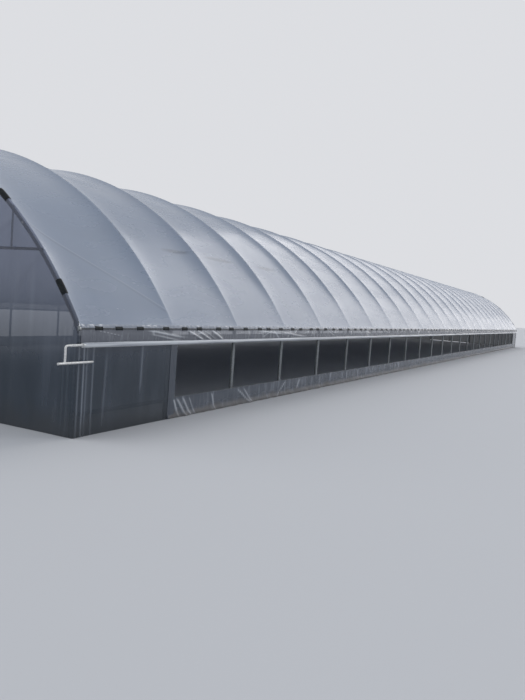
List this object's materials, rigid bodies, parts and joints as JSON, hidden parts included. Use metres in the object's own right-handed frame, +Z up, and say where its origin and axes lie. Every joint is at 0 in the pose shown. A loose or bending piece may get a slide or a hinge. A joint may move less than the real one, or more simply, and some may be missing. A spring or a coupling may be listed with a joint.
{
  "type": "polytunnel greenhouse",
  "caption": "Long round-arched polytunnel greenhouse: steel tube arches on posts under one film, with open rolled-up sides, fixed film end bays and film gables.",
  "frame": {"origin": "middle of the tunnel's footprint at ground level", "axes": "+X along the tunnel from the near gable to the far one, -Y out of the front side, +Z up"},
  "size_m": [38.1, 8.1326, 3.3631],
  "materials": {
    "galvanised_tube": "dull galvanised steel tube",
    "base_channel": "roll-formed galvanised channel",
    "roof_film": "milky polythene film",
    "clear_film": "clear polythene film",
    "curtain_film": "bunched polythene film",
    "rolled_film": "polythene film wound on a tube",
    "door_frame": "zinc-painted square tube",
    "crank": "plain steel bar"
  },
  "bodies": {
    "root": {"near_end_arch": "galvanised_tube", "far_end_arch": "galvanised_tube", "inner_arches_1": "galvanised_tube", "inner_arches_2": "galvanised_tube", "inner_arches_3": "galvanised_tube", "inner_arches_4": "galvanised_tube", "front_posts": "galvanised_tube", "back_posts": "galvanised_tube", "ridge_purlin": "galvanised_tube", "front_eave_tube": "galvanised_tube", "back_eave_tube": "galvanised_tube", "near_braces": "galvanised_tube", "far_braces": "galvanised_tube", "near_header": "galvanised_tube", "far_header": "galvanised_tube", "near_door_posts": "galvanised_tube", "far_door_posts": "galvanised_tube", "near_studs": "galvanised_tube", "far_studs": "galvanised_tube", "front_base_rail": "base_channel", "back_base_rail": "base_channel", "roof_film": "roof_film", "front_curtain_film": "curtain_film", "back_curtain_film": "curtain_film", "front_base_film": "curtain_film", "back_base_film": "curtain_film", "front_curtain_roll": "rolled_film", "back_curtain_roll": "rolled_film", "front_crank": "crank", "back_crank": "crank", "near_gable_film": "clear_film", "near_door_films": "clear_film", "near_front_panel": "clear_film", "near_back_panel": "clear_film", "near_front_door_frame": "door_frame", "near_back_door_frame": "door_frame", "far_gable_film": "clear_film", "far_door_films": "clear_film", "far_front_panel": "clear_film", "far_back_panel": "clear_film", "far_front_door_frame": "door_frame", "far_back_door_frame": "door_frame"}
  },
  "joints": []
}
